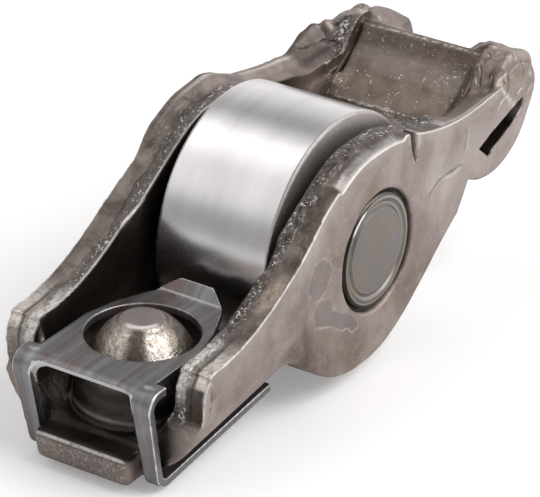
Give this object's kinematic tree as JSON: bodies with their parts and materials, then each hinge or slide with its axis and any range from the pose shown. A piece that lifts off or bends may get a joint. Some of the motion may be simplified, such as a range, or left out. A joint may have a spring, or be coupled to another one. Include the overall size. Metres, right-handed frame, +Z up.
{
  "type": "rocker arm",
  "caption": "Pressed steel roller finger follower with a ball socket and spring clip at one end, a needle-mounted cam roller and a guided valve pad at the other.",
  "frame": {"origin": "centre of the cam roller, on its axis midway between the side walls", "axes": "+X toward the valve pad, +Y across along the roller pin, +Z up, away from the valve"},
  "size_m": [0.0424, 0.015, 0.017],
  "materials": {
    "lever_steel": "tumbled case-hardened steel, grey-brown with stains, bright worn edges",
    "spring_steel": "blued spring strip with brown streaks and bright cut edges",
    "ground_steel": "ground and superfinished bearing steel",
    "pin_steel": "hardened pin, turned ends staked in the walls",
    "needle_steel": "polished bearing needles"
  },
  "bodies": {
    "lever": {"lever_body": "lever_steel", "retaining_clip": "spring_steel", "roller_pin": "pin_steel"},
    "roller": {"roller": "ground_steel"},
    "needle_set": {"needle_01": "needle_steel", "needle_02": "needle_steel", "needle_03": "needle_steel", "needle_04": "needle_steel", "needle_05": "needle_steel", "needle_06": "needle_steel", "needle_07": "needle_steel", "needle_08": "needle_steel", "needle_09": "needle_steel", "needle_10": "needle_steel", "needle_11": "needle_steel", "needle_12": "needle_steel", "needle_13": "needle_steel", "needle_14": "needle_steel", "needle_15": "needle_steel", "needle_16": "needle_steel", "needle_17": "needle_steel", "needle_18": "needle_steel"}
  },
  "joints": [
    {"name": "roller_spin", "type": "hinge", "parent": "lever", "child": "roller", "pos_m": [0, 0, 0], "axis": [0, 1, 0], "continuous": true},
    {"name": "needle_orbit", "type": "hinge", "parent": "lever", "child": "needle_set", "pos_m": [0, 0, 0], "axis": [0, 1, 0], "continuous": true}
  ],
  "couplings": [
    {"joint": "needle_orbit", "follows": "roller_spin", "ratio": 0.5869}
  ]
}
